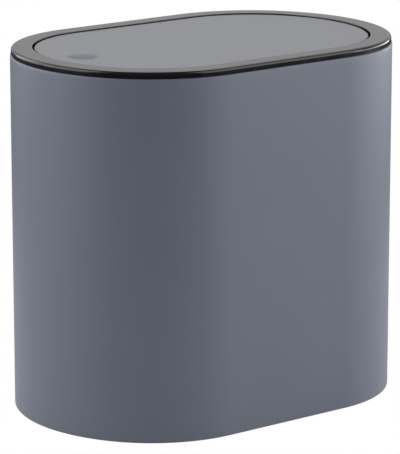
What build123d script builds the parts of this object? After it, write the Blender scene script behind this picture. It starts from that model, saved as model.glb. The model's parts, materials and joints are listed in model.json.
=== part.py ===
"""An oval swing-lid waste bin: painted steel sleeve, lift-out bucket, and a black ring that carries a
self-levelling lid.  Millimetres, +Z up, origin on the floor under the middle of the bin, +X along its
length.  The thumb dimple is at the -X end of the lid: pressing there swings that end down."""

from build123d import *

import os
from math import asin, cos, degrees, radians, sin, tan

# Plan outline of the bin: two straight sides, four shoulder arcs and two slightly flatter end arcs.
BODY_LENGTH = 252.0
BODY_WIDTH = 172.0
END_FLATTENING = 8.0  # end arc's radius, beyond half the width
SHOULDER_TIGHTENING = 8.0  # shoulder arc's radius, short of half the width

# Painted steel sleeve and its pressed bottom.
BODY_TOP = 225.0  # top of the sleeve above the floor
SLEEVE_LIFT = 1.2  # sleeve's lower edge above the floor
SHEET = 0.7
SHEET_BEND = 1.2  # outside radius of the turned edges
TOP_FLANGE = 5.6  # width of the sleeve's turned-in top edge
HEM_DEPTH = 4.0  # down-turned hem behind that edge
BOTTOM_FLANGE = 8.0  # width of the turned-in lower edge
PAN_WALL = 12.0  # height of the pan's upturned wall
PAN_GAP = 0.15  # between the pan and what it fits
PAN_BEND = 1.6
EMBOSS_RISE = 1.6  # raised middle of the pan
EMBOSS_INSET = 25.0  # from the sleeve's outline to the raised middle
EMBOSS_BEND = 0.5

# Plastic base ring, its push rivets and the rubber pads under it.
PAD_PROUD = 0.4  # pad below the base ring
PAD_RADIUS = 7.0
PAD_RECESS = 0.6
PAD_EDGE = 0.3
PAD_ANGLE = 60.0  # place of each pad round its shoulder arc
BASE_RING_GAP = 1.0  # from the sleeve's lower flange to the base ring
LOCATING_RIB = 1.4  # rib that stands in the step of the pan's raised middle
LOCATING_RIB_DROP = 0.4  # rib's top below the raised middle
RIVET_RADIUS = 1.6
RIVET_HEAD_RADIUS = 3.6
RIVET_HEAD = 0.7
RIVET_BULB_RADIUS = 2.6
RIVET_BULB = 0.9
RIVET_SETBACK = 91.0  # rivets, in from the ends of the sleeve
HOLE_CLEARANCE = 0.1

# Black ring that plugs into the sleeve.
RING_HEIGHT = 4.2  # visible height above the sleeve
RING_INSET = 0.6  # ring's side, in from the sleeve's outline
RING_EDGE = 1.8  # rounding of its top outer edge
RING_PLATE = 2.2
RING_LIP = 2.2
RING_WALL = 2.0
PLUG_GAP = 0.4  # between the ring's plug and the sleeve's hem
PLUG_DEPTH = 13.0  # plug and throat walls below the top of the sleeve
PLUG_CHAMFER = 0.9
OPENING_INSET = 13.8  # from the sleeve's outline to the throat
THROAT_EDGE = 0.5
RING_RIBS = 32
RING_RIB = 1.2
RING_RIB_DEPTH = 8.0
GRIP_RIBS = 10  # half-round ribs that centre the plug in the hem
GRIP_RIB_RADIUS = 1.0
GRIP_RIB_PROUD = 0.25

# Lid: a painted panel over a black base, hollow between them.
LID_GAP = 1.3
LID_RECESS = 0.7  # lid's face below the ring's
PANEL = 1.8
PANEL_EDGE = 0.6
PANEL_LIP = 1.4
PANEL_LIP_DEPTH = 2.5
SHELL_GAP = 0.15  # between the panel and the base where they nest
LID_BASE_WALL = 1.6
LID_BASE_FLOOR = 1.6
LID_BASE_EDGE = 1.5
LID_RIB = 1.2
LID_RIB_DROP = 2.0  # floor ribs stop this far under the panel
LID_RIB_SPACING_Y = 52.0
DIMPLE_SETBACK = 34.0  # dimple's middle, in from the end of the sleeve
DIMPLE_RADIUS = 9.5
DIMPLE_DEPTH = 1.5
DIMPLE_BLEND = 10.0
DIMPLE_BACKING = 3.0  # backing disc's radius beyond the dimple
DIMPLE_BACKING_DEPTH = 1.4

# Screws that hold the two halves of the lid together.
SCREW_RADIUS = 1.5
SCREW_HEAD_RADIUS = 2.8
SCREW_HEAD = 1.8
SCREW_EDGE = 0.6
SCREW_LENGTH = 6.0
SCREW_SLOT = 0.8
SCREW_SINK = 0.4  # head's face above the underside of the lid
SCREW_END_SETBACK = 68.0  # outer screws, in from the ends of the sleeve
SCREW_SIDE_SETBACK = 38.0  # screws, in from its sides
SCREW_SEAT = 1.6  # plastic over a screw's head
SCREW_BOSS = 1.8  # wall of a boss round a screw
SCREW_HEAD_WALL = 1.2  # wall of the cup round a screw's head
SCREW_TIP_GAP = 0.4
THREAD_CLEARANCE = 0.03

# Steel counterweight that levels the lid.
WEIGHT_SETBACK = 44.0  # weight's middle, in from the end of the sleeve
WEIGHT_WIDTH = 22.0
WEIGHT_LENGTH = 78.0
WEIGHT_THICKNESS = 5.0
WEIGHT_EDGE = 0.8
WEIGHT_GAP = 0.3
WEIGHT_RIB = 1.2
WEIGHT_RIB_HEIGHT = 3.0
WEIGHT_KEEPER_SPACING = 40.0
WEIGHT_KEEPER_GAP = 0.1

# Pivot across the bin.
PIVOT_X = 0.0
PIN_RADIUS = 2.0
PIN_HEAD_RADIUS = 3.2
PIN_HEAD = 1.5
PIN_IN_HUB = 8.0
PIN_EDGE = 0.4
PRESS_CLEARANCE = 0.02
RUNNING_CLEARANCE = 0.06
BUSH_WALL = 1.0
BUSH_FLANGE = 0.8
BUSH_FLANGE_RADIUS = 4.0
THRUST_BOSS_WALL = 1.0
HUB_HALF_WIDTH = 5.0
HUB_WALL = 3.0  # plastic past the pin's end
HUB_UNDER = 1.5  # plastic under the pin
BEARING_HALF_WIDTH = 5.5
BEARING_UNDER = 2.0  # bearing block's plastic under the bush

# Stops at the end of the lid's swing.  Angles are seen from the front, from +X.
LID_SWING = 70.0
STOP_START = -118.0  # direction of the lid's stop fin at rest
STOP_REACH = 12.5
STOP_ROOT = 2.5
STOP_THICKNESS = 3.0
STOP_WIDTH = 4.0
STOP_ANGLE_GAP = 1.0  # left between fin and lug at the end of the swing
LUG_LENGTH = 9.0
LUG_HEADROOM = 0.6

# Ledge and rubber bumpers that hold the lid level.
LEDGE_WIDTH = 10.2
LEDGE_HALF_LENGTH = 34.0
LEDGE_THICKNESS = 2.4
BUMPER_RADIUS = 3.0
BUMPER_PROUD = 1.3
BUMPER_RECESS = 0.8
BUMPER_EDGE = 0.5
BUMPER_INSET = 20.0
BUMPER_ANGLE = 17.0

# Lift-out bucket.
BUCKET_RIM_GAP = 1.0  # rim to the sleeve's hem
BUCKET_RIM_WIDTH = 3.0  # flange outside the wall
BUCKET_RIM_DEPTH = 6.0
BUCKET_RIM_EDGE = 1.0
BUCKET_LIP = 1.4
BUCKET_WALL = 1.6
BUCKET_TAPER = 1.2  # degrees
BUCKET_CORNER = 9.0
BUCKET_FOOT = 2.0
BUCKET_FOOT_WIDTH = 3.0
BUCKET_FOOT_SETBACK = 5.0  # from the edge of the pan's raised middle
BUCKET_RIBS = 24
BUCKET_RIB = 1.4
EAR_HALF_WIDTH = 6.0
EAR_THICKNESS = 1.8
EAR_SETBACK = 0.2  # ear's outer face behind the rim's edge
EAR_WALL = 2.3  # plastic round the bail's hole

# Wire bail of the bucket, lying over its rim, and the grip on it.
WIRE_RADIUS = 1.3
WIRE_BEND = 2.6
WIRE_INSET = 12.0
WIRE_CLEARANCE = 0.08
WIRE_PAST_EAR = 0.6
GRIP_RADIUS = 3.2
GRIP_BORE_CLEARANCE = 0.15
GRIP_HALF_ANGLE = 22.0
GRIP_EDGE = 1.0
GRIP_REST_GAP = 0.3  # over the bucket's rim
BAIL_HEADROOM = 1.7  # under the ring

# How far one solid reaches into another that it is fused to.
OVERLAP = 0.5

# Half sizes and arc centres of the outline.
HALF_WIDTH = BODY_WIDTH / 2
HALF_LENGTH = BODY_LENGTH / 2
END_RADIUS = HALF_WIDTH + END_FLATTENING
SHOULDER_RADIUS = HALF_WIDTH - SHOULDER_TIGHTENING
END_X = HALF_LENGTH - END_RADIUS
BLEND_ANGLE = degrees(asin(SHOULDER_TIGHTENING / (END_RADIUS - SHOULDER_RADIUS)))
SHOULDER_X = END_X + (END_RADIUS - SHOULDER_RADIUS) * cos(radians(BLEND_ANGLE))

# Places along and across the bin.
RIVET_SPACING_X = BODY_LENGTH - 2 * RIVET_SETBACK
DIMPLE_X = DIMPLE_SETBACK - HALF_LENGTH
SCREW_SPACING_X = HALF_LENGTH - SCREW_END_SETBACK
SCREW_SPACING_Y = BODY_WIDTH - 2 * SCREW_SIDE_SETBACK
WEIGHT_X = HALF_LENGTH - WEIGHT_SETBACK

# Heights of the bottom.
PAN_BOTTOM = SLEEVE_LIFT + SHEET
PAN_FLOOR = PAN_BOTTOM + SHEET
BUCKET_BOTTOM = PAN_FLOOR + EMBOSS_RISE
BASE_RING_OUTER = BOTTOM_FLANGE + BASE_RING_GAP
BASE_RING_INNER = EMBOSS_INSET + PAN_GAP + LOCATING_RIB
BASE_RING_MIDDLE = (BASE_RING_OUTER + BASE_RING_INNER) / 2

# Heights and insets of the ring, the pivot and the lid.
RING_TOP = BODY_TOP + RING_HEIGHT
RING_PLATE_BOTTOM = RING_TOP - RING_PLATE
PLUG_BOTTOM = BODY_TOP - PLUG_DEPTH
PLUG_INSET = TOP_FLANGE + PLUG_GAP
LID_TOP = RING_TOP - LID_RECESS
LID_INSET = OPENING_INSET + LID_GAP
PANEL_BOTTOM = LID_TOP - PANEL
PANEL_LIP_BOTTOM = PANEL_BOTTOM - PANEL_LIP_DEPTH
LID_BASE_INSET = LID_INSET + PANEL_LIP + SHELL_GAP
THRUST_BOSS_RADIUS = PIN_RADIUS + PRESS_CLEARANCE + THRUST_BOSS_WALL
PIVOT_Z = PANEL_LIP_BOTTOM - SHELL_GAP - THRUST_BOSS_RADIUS
LID_BOTTOM = PIVOT_Z - PIN_RADIUS - HUB_UNDER
LID_FLOOR_TOP = LID_BOTTOM + LID_BASE_FLOOR
WEIGHT_TOP = LID_FLOOR_TOP + WEIGHT_THICKNESS
SCREW_SEAT_BOTTOM = LID_BOTTOM + SCREW_SINK + SCREW_HEAD
SCREW_SEAT_TOP = SCREW_SEAT_BOTTOM + SCREW_SEAT
LEDGE_TOP = LID_BOTTOM - BUMPER_PROUD
BUSH_RADIUS = PIN_RADIUS + RUNNING_CLEARANCE + BUSH_WALL
BUSH_OUTER_INSET = PLUG_INSET + RING_WALL + PIN_HEAD + HOLE_CLEARANCE
PIN_END_INSET = LID_INSET + PIN_IN_HUB

# The lid's stop fin, and the face of the ring's lug that meets it.
STOP_INSET = LID_BASE_INSET + LID_BASE_EDGE
LUG_ANGLE = STOP_START + LID_SWING + STOP_ANGLE_GAP

# Heights and insets of the bucket and its bail.
EAR_RADIUS = WIRE_RADIUS + WIRE_CLEARANCE + EAR_WALL
BAIL_Z = PLUG_BOTTOM - BAIL_HEADROOM - EAR_RADIUS
BUCKET_TOP = BAIL_Z - GRIP_RADIUS - GRIP_REST_GAP
BUCKET_FLOOR = BUCKET_BOTTOM + BUCKET_FOOT
BUCKET_FOOT_INSET = EMBOSS_INSET + BUCKET_FOOT_SETBACK
BUCKET_RIM_INSET = TOP_FLANGE + BUCKET_RIM_GAP
BUCKET_WALL_INSET = BUCKET_RIM_INSET + BUCKET_RIM_WIDTH
EAR_INSET = BUCKET_RIM_INSET + EAR_SETBACK
WIRE_END_INSET = EAR_INSET - WIRE_PAST_EAR


def end_arcs(inset):
    """The three arcs round the +X end of the outline, drawn in by inset, in the current line."""
    shoulder = SHOULDER_RADIUS - inset
    return [
        CenterArc((SHOULDER_X, SHOULDER_TIGHTENING), shoulder, 90, BLEND_ANGLE - 90),
        CenterArc((END_X, 0), END_RADIUS - inset, BLEND_ANGLE, -2 * BLEND_ANGLE),
        CenterArc((SHOULDER_X, -SHOULDER_TIGHTENING), shoulder, -BLEND_ANGLE, BLEND_ANGLE - 90),
    ]


def outline(inset):
    """The whole outline, drawn in by inset, as one wire."""
    half_width = HALF_WIDTH - inset
    with BuildLine() as line:
        mirror(end_arcs(inset), about=Plane.YZ)
        Line((-SHOULDER_X, half_width), (SHOULDER_X, half_width))
        Line((-SHOULDER_X, -half_width), (SHOULDER_X, -half_width))
    return line.wire()


def half_outline(inset):
    """The +X half of the outline, drawn in by inset, from the middle of the back to that of the front."""
    half_width = HALF_WIDTH - inset
    with BuildLine() as line:
        Line((0, half_width), (SHOULDER_X, half_width))
        end_arcs(inset)
        Line((SHOULDER_X, -half_width), (0, -half_width))
    return line.wire()


def oval(inset=0.0, mode=Mode.ADD):
    """The outline, drawn in by inset, as a face of the current sketch."""
    make_face(outline(inset).edges(), mode=mode)


def band(outer, inner):
    """The face between two insets of the outline."""
    oval(outer)
    oval(inner, mode=Mode.SUBTRACT)


def places_along(inset, count):
    """Evenly spaced places round the outline, each with its X axis along it."""
    path = half_outline(inset)
    half_count = count // 2
    places = []
    for number in range(half_count):
        share = (number + 0.5) / half_count
        point = path.position_at(share)
        angle = path.tangent_angle_at(share)
        places += [Location((point.X, point.Y), angle), Location((-point.X, point.Y), -angle)]
    return places


def edges_at(part, height):
    """The edges of a part that lie level at a height."""
    return part.edges().filter_by_position(Axis.Z, height - 0.01, height + 0.01)


def side_planes(inset):
    """Upright planes at the pivot, facing out at the front and at the back, at an inset of the outline."""
    return [
        Plane((PIVOT_X, side * (HALF_WIDTH - inset), PIVOT_Z), x_dir=(-side, 0, 0), z_dir=(0, side, 0))
        for side in (-1, 1)
    ]


def end_place(inset, angle):
    """A point on the +X end arc, drawn in by inset, at an angle from the X axis."""
    radius = END_RADIUS - inset
    return (END_X + radius * cos(radians(angle)), radius * sin(radians(angle)))


def stop_point(angle, reach, side_step):
    """A point along a direction from the pivot, stepped aside in the sense of the swing."""
    along = (cos(radians(angle)), sin(radians(angle)))
    return (along[0] * reach - along[1] * side_step, along[1] * reach + along[0] * side_step)


def stop_face(angle, height):
    """Where the leading face of a stop fin that points at an angle reaches a height over the pivot."""
    reach = (height - cos(radians(angle)) * STOP_THICKNESS / 2) / sin(radians(angle))
    return stop_point(angle, reach, STOP_THICKNESS / 2)


os.makedirs("parts", exist_ok=True)

# Sleeve: outer form with its turned edges, less the hollow and the two mouths, plus the hem.
with BuildPart() as sleeve_hollow:
    with BuildSketch(Plane.XY.offset(SLEEVE_LIFT + SHEET)):
        oval(SHEET)
    extrude(amount=BODY_TOP - SLEEVE_LIFT - 2 * SHEET)
    fillet(sleeve_hollow.faces().filter_by(Axis.Z).edges(), SHEET_BEND - SHEET)

with BuildPart() as body_sleeve:
    with BuildSketch(Plane.XY.offset(SLEEVE_LIFT)):
        oval()
    extrude(amount=BODY_TOP - SLEEVE_LIFT)
    fillet(body_sleeve.faces().filter_by(Axis.Z).edges(), SHEET_BEND)
    add(sleeve_hollow.part, mode=Mode.SUBTRACT)
    with BuildSketch(Plane.XY.offset(SLEEVE_LIFT)):
        oval(BOTTOM_FLANGE)
    extrude(amount=SHEET, mode=Mode.SUBTRACT)
    with BuildSketch(Plane.XY.offset(BODY_TOP)):
        oval(TOP_FLANGE)
    extrude(amount=-SHEET, mode=Mode.SUBTRACT)
    with BuildSketch(Plane.XY.offset(BODY_TOP - SHEET)):
        band(TOP_FLANGE - SHEET, TOP_FLANGE)
    extrude(amount=-HEM_DEPTH)
body_sleeve.part.label = "body_sleeve"
export_step(body_sleeve.part, "parts/body_sleeve.step")

# Places of the pads and rivets on the base ring.
shoulder_middle = SHOULDER_RADIUS - BASE_RING_MIDDLE
pad_x = SHOULDER_X + shoulder_middle * cos(radians(PAD_ANGLE))
pad_y = SHOULDER_TIGHTENING + shoulder_middle * sin(radians(PAD_ANGLE))
pad_places = [(pad_x, pad_y), (-pad_x, pad_y), (-pad_x, -pad_y), (pad_x, -pad_y)]
rivet_places = GridLocations(RIVET_SPACING_X, BODY_WIDTH - 2 * BASE_RING_MIDDLE, 2, 2)

# Pan: one sheet thickness all over, following the step of its raised middle.
with BuildPart() as bottom_pan:
    with BuildSketch(Plane.XY.offset(PAN_BOTTOM)):
        oval(SHEET + PAN_GAP)
    extrude(amount=PAN_WALL)
    fillet(edges_at(bottom_pan, PAN_BOTTOM), PAN_BEND)
    with BuildSketch(Plane.XY.offset(PAN_BOTTOM)):
        oval(EMBOSS_INSET)
    extrude(amount=EMBOSS_RISE, mode=Mode.SUBTRACT)
    fillet(edges_at(bottom_pan, PAN_BOTTOM + EMBOSS_RISE), EMBOSS_BEND)
    offset(amount=-SHEET, openings=bottom_pan.faces().sort_by(Axis.Z)[-1])
    with BuildSketch(Plane.XY.offset(PAN_BOTTOM)):
        with rivet_places:
            Circle(RIVET_RADIUS + HOLE_CLEARANCE)
    extrude(amount=SHEET, mode=Mode.SUBTRACT)
bottom_pan.part.label = "bottom_pan"
export_step(bottom_pan.part, "parts/bottom_pan.step")

# Base ring: flat under the pan, with a rib up into the step and recesses for pads and rivet heads.
with BuildPart() as base_ring:
    with BuildSketch(Plane.XY.offset(PAD_PROUD)):
        band(BASE_RING_OUTER, BASE_RING_INNER)
    extrude(amount=PAN_BOTTOM - PAD_PROUD)
    with BuildSketch(Plane.XY.offset(PAN_BOTTOM)):
        band(EMBOSS_INSET + PAN_GAP, BASE_RING_INNER)
    extrude(amount=EMBOSS_RISE - LOCATING_RIB_DROP)
    with BuildSketch(Plane.XY.offset(PAD_PROUD)):
        with Locations(pad_places):
            Circle(PAD_RADIUS + HOLE_CLEARANCE)
    extrude(amount=PAD_RECESS, mode=Mode.SUBTRACT)
    with BuildSketch(Plane.XY.offset(PAD_PROUD)):
        with rivet_places:
            Circle(RIVET_HEAD_RADIUS + HOLE_CLEARANCE)
    extrude(amount=RIVET_HEAD, mode=Mode.SUBTRACT)
    with BuildSketch(Plane.XY.offset(PAD_PROUD)):
        with rivet_places:
            Circle(RIVET_RADIUS + HOLE_CLEARANCE)
    extrude(amount=PAN_BOTTOM, mode=Mode.SUBTRACT)
base_ring.part.label = "base_ring"
export_step(base_ring.part, "parts/base_ring.step")

# Push rivets: head in the base ring, shank through ring and pan, bulb over the pan.
with BuildPart() as base_rivets:
    with BuildSketch(Plane.XY.offset(PAD_PROUD)):
        with rivet_places:
            Circle(RIVET_HEAD_RADIUS)
    extrude(amount=RIVET_HEAD)
    with BuildSketch(Plane.XY.offset(PAD_PROUD)):
        with rivet_places:
            Circle(RIVET_RADIUS)
    extrude(amount=PAN_FLOOR + RIVET_BULB - PAD_PROUD)
    with BuildSketch(Plane.XY.offset(PAN_FLOOR)):
        with rivet_places:
            Circle(RIVET_BULB_RADIUS)
    extrude(amount=RIVET_BULB)
    chamfer(edges_at(base_rivets, PAN_FLOOR + RIVET_BULB), RIVET_BULB / 2)
base_rivets.part.label = "base_rivets"
export_step(base_rivets.part, "parts/base_rivets.step")

# Rubber pads, pressed up into the base ring.
for number, place in enumerate(pad_places, start=1):
    with BuildPart() as foot_pad:
        with BuildSketch():
            with Locations(place):
                Circle(PAD_RADIUS)
        extrude(amount=PAD_PROUD + PAD_RECESS)
        chamfer(edges_at(foot_pad, 0), PAD_EDGE)
    foot_pad.part.label = f"foot_pad_{number}"
    export_step(foot_pad.part, f"parts/foot_pad_{number}.step")

# How far the bearing blocks reach over and under the pivot.
bearing_above = RING_PLATE_BOTTOM + OVERLAP - PIVOT_Z
bearing_below = BUSH_RADIUS + BEARING_UNDER

# The lug's near face, from under the lid down to the bottom of the throat.
lug_high = stop_face(LUG_ANGLE, LID_BOTTOM - LUG_HEADROOM - PIVOT_Z)
lug_low = stop_face(LUG_ANGLE, PLUG_BOTTOM - PIVOT_Z)

# Ring: one moulding with a lip on the sleeve, a plug wall in it, a throat wall round the lid, and
# between the walls the ribs and the two bearing blocks.
with BuildPart() as rim_ring:
    with BuildSketch(Plane.XY.offset(BODY_TOP)):
        oval(RING_INSET)
    extrude(amount=RING_HEIGHT)
    fillet(edges_at(rim_ring, RING_TOP), RING_EDGE)
    with BuildSketch(Plane.XY.offset(BODY_TOP)):
        oval(RING_INSET + RING_LIP)
    extrude(amount=RING_HEIGHT - RING_PLATE, mode=Mode.SUBTRACT)
    with BuildSketch(Plane.XY.offset(PLUG_BOTTOM)):
        oval(PLUG_INSET)
    extrude(amount=RING_PLATE_BOTTOM - PLUG_BOTTOM)
    chamfer(edges_at(rim_ring, PLUG_BOTTOM), PLUG_CHAMFER)
    with BuildSketch(Plane.XY.offset(PLUG_BOTTOM)):
        band(PLUG_INSET + RING_WALL, OPENING_INSET - RING_WALL)
    extrude(amount=RING_PLATE_BOTTOM - PLUG_BOTTOM, mode=Mode.SUBTRACT)
    with BuildSketch(Plane.XY.offset(PLUG_BOTTOM)):
        oval(OPENING_INSET)
    extrude(amount=RING_TOP - PLUG_BOTTOM, mode=Mode.SUBTRACT)
    fillet(rim_ring.faces().sort_by(Axis.Z)[-1].inner_wires().edges(), THROAT_EDGE)
    with BuildSketch(Plane.XY.offset(RING_PLATE_BOTTOM)):
        with Locations(places_along((PLUG_INSET + OPENING_INSET) / 2, RING_RIBS)):
            Rectangle(RING_RIB, OPENING_INSET - PLUG_INSET - RING_WALL)
    extrude(amount=-RING_RIB_DEPTH)
    with BuildSketch(Plane.XY.offset(PLUG_BOTTOM + 2 * PLUG_CHAMFER)):
        with Locations(places_along(PLUG_INSET + GRIP_RIB_RADIUS - GRIP_RIB_PROUD, GRIP_RIBS)):
            Circle(GRIP_RIB_RADIUS)
    extrude(until=Until.NEXT)
    # Bearing blocks between the walls, bored for the bushes and, from outside, for the pins' heads.
    with BuildSketch(*side_planes(PLUG_INSET + RING_WALL - OVERLAP)):
        with Locations((0, (bearing_above - bearing_below) / 2)):
            Rectangle(2 * BEARING_HALF_WIDTH, bearing_above + bearing_below)
    extrude(amount=-(OPENING_INSET - PLUG_INSET - 2 * RING_WALL + 2 * OVERLAP))
    with BuildSketch(*side_planes(PLUG_INSET - GRIP_RIB_PROUD)):
        Circle(BUSH_RADIUS + PRESS_CLEARANCE)
    extrude(amount=-(OPENING_INSET - PLUG_INSET + 2 * GRIP_RIB_PROUD), mode=Mode.SUBTRACT)
    with BuildSketch(*side_planes(PLUG_INSET - GRIP_RIB_PROUD)):
        Circle(PIN_HEAD_RADIUS + HOLE_CLEARANCE)
    extrude(amount=-(BUSH_OUTER_INSET - PLUG_INSET + GRIP_RIB_PROUD), mode=Mode.SUBTRACT)
    # Ledge under the heavy end of the lid, with a seat for each bumper.
    with BuildSketch(Plane.XY.offset(LEDGE_TOP)):
        band(OPENING_INSET - OVERLAP, OPENING_INSET + LEDGE_WIDTH)
        with Locations((HALF_LENGTH, 0)):
            Rectangle(HALF_LENGTH, 2 * LEDGE_HALF_LENGTH, mode=Mode.INTERSECT)
    extrude(amount=-LEDGE_THICKNESS)
    with BuildSketch(Plane.XY.offset(LEDGE_TOP)):
        with Locations(*[end_place(BUMPER_INSET, side * BUMPER_ANGLE) for side in (-1, 1)]):
            Circle(BUMPER_RADIUS + PRESS_CLEARANCE)
    extrude(amount=-BUMPER_RECESS, mode=Mode.SUBTRACT)
    # Stop lugs: each one's near face lies where the lid's fin arrives.
    with BuildSketch(side_planes(OPENING_INSET - OVERLAP)[0]):
        with BuildLine():
            Polyline(lug_high, lug_low, (lug_high[0] + LUG_LENGTH, lug_low[1]),
                     (lug_high[0] + LUG_LENGTH, lug_high[1]), close=True)
        make_face()
    front_lug = extrude(amount=-(STOP_INSET + STOP_WIDTH - OPENING_INSET + OVERLAP))
    mirror(front_lug, about=Plane.XZ)
rim_ring.part.label = "rim_ring"
export_step(rim_ring.part, "parts/rim_ring.step")

# Pivot bushes: pressed into the bearing blocks from the throat, where their flanges take the side play.
for end, bush_plane, flange_plane in zip(
        ("front", "back"), side_planes(BUSH_OUTER_INSET), side_planes(OPENING_INSET)):
    with BuildPart() as pivot_bush:
        with BuildSketch(bush_plane):
            Circle(BUSH_RADIUS)
        extrude(amount=-(OPENING_INSET - BUSH_OUTER_INSET))
        with BuildSketch(flange_plane):
            Circle(BUSH_FLANGE_RADIUS)
        extrude(amount=-BUSH_FLANGE)
        with BuildSketch(bush_plane):
            Circle(PIN_RADIUS + RUNNING_CLEARANCE)
        extrude(amount=-(OPENING_INSET + BUSH_FLANGE - BUSH_OUTER_INSET), mode=Mode.SUBTRACT)
    pivot_bush.part.label = f"pivot_bush_{end}"
    export_step(pivot_bush.part, f"parts/pivot_bush_{end}.step")

# Rest bumpers: rubber buttons pressed into the ledge, whose faces carry the lid.
for end, side in (("front", -1), ("back", 1)):
    with BuildPart() as rest_bumper:
        with BuildSketch(Plane.XY.offset(LEDGE_TOP - BUMPER_RECESS)):
            with Locations(end_place(BUMPER_INSET, side * BUMPER_ANGLE)):
                Circle(BUMPER_RADIUS)
        extrude(amount=BUMPER_RECESS + BUMPER_PROUD)
        fillet(edges_at(rest_bumper, LID_BOTTOM), BUMPER_EDGE)
    rest_bumper.part.label = f"rest_bumper_{end}"
    export_step(rest_bumper.part, f"parts/rest_bumper_{end}.step")

# Lid panel: the painted face, its lip, the thumb dimple with its backing, and what hangs from it.
screw_places = GridLocations(SCREW_SPACING_X, SCREW_SPACING_Y, 3, 2)
dimple_ball_radius = (DIMPLE_RADIUS**2 + DIMPLE_DEPTH**2) / (2 * DIMPLE_DEPTH)
with BuildPart() as lid_panel:
    with BuildSketch(Plane.XY.offset(PANEL_BOTTOM)):
        oval(LID_INSET)
    extrude(amount=PANEL)
    fillet(edges_at(lid_panel, LID_TOP), PANEL_EDGE)
    with BuildSketch(Plane.XY.offset(PANEL_BOTTOM)):
        band(LID_INSET, LID_INSET + PANEL_LIP)
    extrude(amount=-PANEL_LIP_DEPTH)
    with BuildSketch(Plane.XY.offset(PANEL_BOTTOM)):
        with Locations((DIMPLE_X, 0)):
            Circle(DIMPLE_RADIUS + DIMPLE_BACKING)
    extrude(amount=-DIMPLE_BACKING_DEPTH)
    with Locations((DIMPLE_X, 0, LID_TOP - DIMPLE_DEPTH + dimple_ball_radius)):
        Sphere(dimple_ball_radius, mode=Mode.SUBTRACT)
    fillet(edges_at(lid_panel, LID_TOP).filter_by(GeomType.CIRCLE).sort_by(Edge.radius)[0], DIMPLE_BLEND)
    with BuildSketch(Plane.XY.offset(PANEL_BOTTOM)):
        with screw_places:
            Circle(SCREW_RADIUS + SCREW_BOSS)
    extrude(amount=SCREW_SEAT_TOP - PANEL_BOTTOM)
    with BuildSketch(Plane.XY.offset(SCREW_SEAT_TOP)):
        with screw_places:
            Circle(SCREW_RADIUS + THREAD_CLEARANCE)
    extrude(amount=SCREW_LENGTH - SCREW_SEAT + SCREW_TIP_GAP, mode=Mode.SUBTRACT)
    with BuildSketch(Plane.XY.offset(PANEL_BOTTOM)):
        with Locations((WEIGHT_X, 0)):
            with GridLocations(0, WEIGHT_KEEPER_SPACING, 1, 2):
                Rectangle(WEIGHT_WIDTH, LID_RIB)
    extrude(amount=WEIGHT_TOP + WEIGHT_KEEPER_GAP - PANEL_BOTTOM)
lid_panel.part.label = "lid_panel"
export_step(lid_panel.part, "parts/lid_panel.step")

# The weight's pocket, at whose near side the floor ribs stop.
pocket_width = WEIGHT_WIDTH + 2 * WEIGHT_GAP
pocket_length = WEIGHT_LENGTH + 2 * WEIGHT_GAP
pocket_near_x = WEIGHT_X - pocket_width / 2

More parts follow.
